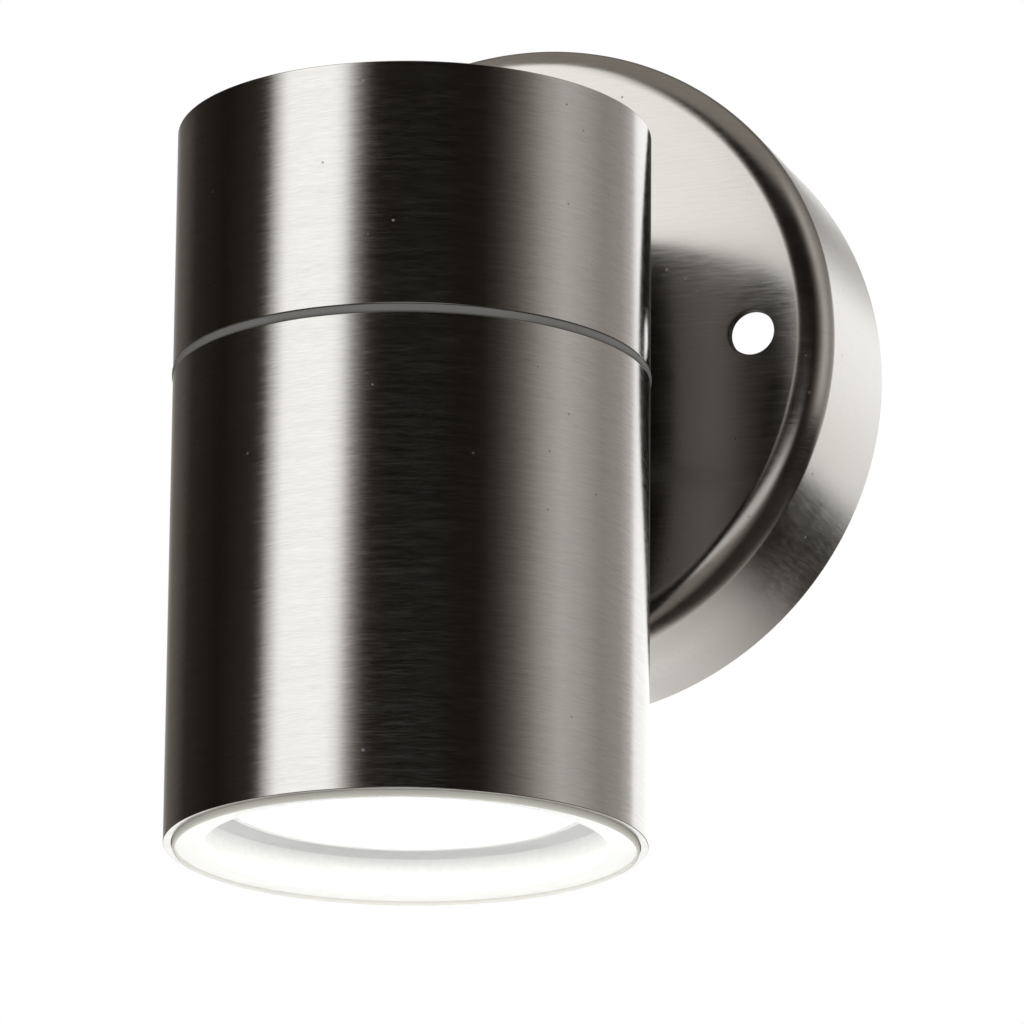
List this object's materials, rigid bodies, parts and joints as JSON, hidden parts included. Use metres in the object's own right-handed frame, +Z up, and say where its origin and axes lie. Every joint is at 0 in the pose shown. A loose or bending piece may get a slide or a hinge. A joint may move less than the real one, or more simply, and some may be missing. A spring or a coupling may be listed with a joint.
{
  "type": "wall light",
  "caption": "Wall light: a vertical brushed steel tube open downwards behind a clear glass disc, carried on a round dished wall plate; the lower tube unscrews for a change of lamp.",
  "frame": {"origin": "centre of the wall plate's back, on the wall", "axes": "+Z up along the tube, -Y out of the wall towards the room, +X to the right seen from the room"},
  "size_m": [0.086, 0.0926, 0.1184],
  "materials": {
    "plate_steel": "brushed",
    "tube_steel": "brushed round the tube",
    "carrier_aluminium": "turned",
    "collar_aluminium": "turned",
    "spacer_aluminium": "satin",
    "zinc_steel": "zinc plated",
    "strap_steel": "zinc plated sheet",
    "nickel_brass": "nickel plated",
    "ceramic": "fired and unglazed",
    "seal_rubber": "matte",
    "foam_rubber": "closed-cell foam",
    "white_silicone": "matte",
    "clear_glass": "clear",
    "lamp_white": "moulded",
    "lamp_cap": "moulded",
    "lamp_diffuser": "lit, frosted",
    "block_plastic": "moulded"
  },
  "bodies": {
    "root": {"wall_plate": "plate_steel", "wall_gasket": "foam_rubber", "upper_housing": "tube_steel", "top_cap": "tube_steel", "carrier_ring": "carrier_aluminium", "neck_spacer": "spacer_aluminium", "stem": "zinc_steel", "stem_nuts": "nickel_brass", "saddle_washer": "zinc_steel", "lampholder_bracket": "strap_steel", "lampholder": "ceramic", "terminal_block": "block_plastic"},
    "seal": {"joint_seal": "seal_rubber"},
    "sleeve": {"sleeve_tube": "tube_steel", "sleeve_collar": "collar_aluminium", "lens": "clear_glass", "lens_gasket": "white_silicone", "lens_seat": "collar_aluminium"},
    "lamp": {"lamp_base": "lamp_cap", "lamp_pins": "nickel_brass", "lamp_housing": "lamp_white", "lamp_front": "lamp_diffuser"}
  },
  "joints": [
    {"name": "sleeve_drop", "type": "slide", "parent": "root", "child": "seal", "axis": [0, 0, -1], "range_m": [0, 0.008]},
    {"name": "sleeve_turn", "type": "hinge", "parent": "seal", "child": "sleeve", "pos_m": [0, -0.0625, -0.0148], "axis": [0, 0, -1], "range_deg": [0, 1440]},
    {"name": "lamp_twist", "type": "hinge", "parent": "root", "child": "lamp", "pos_m": [0, -0.0625, -0.0188], "axis": [0, 0, -1], "range_deg": [0, 30]}
  ],
  "couplings": [
    {"joint": "sleeve_drop", "follows": "sleeve_turn", "m_per_rad": 0.00031831}
  ]
}
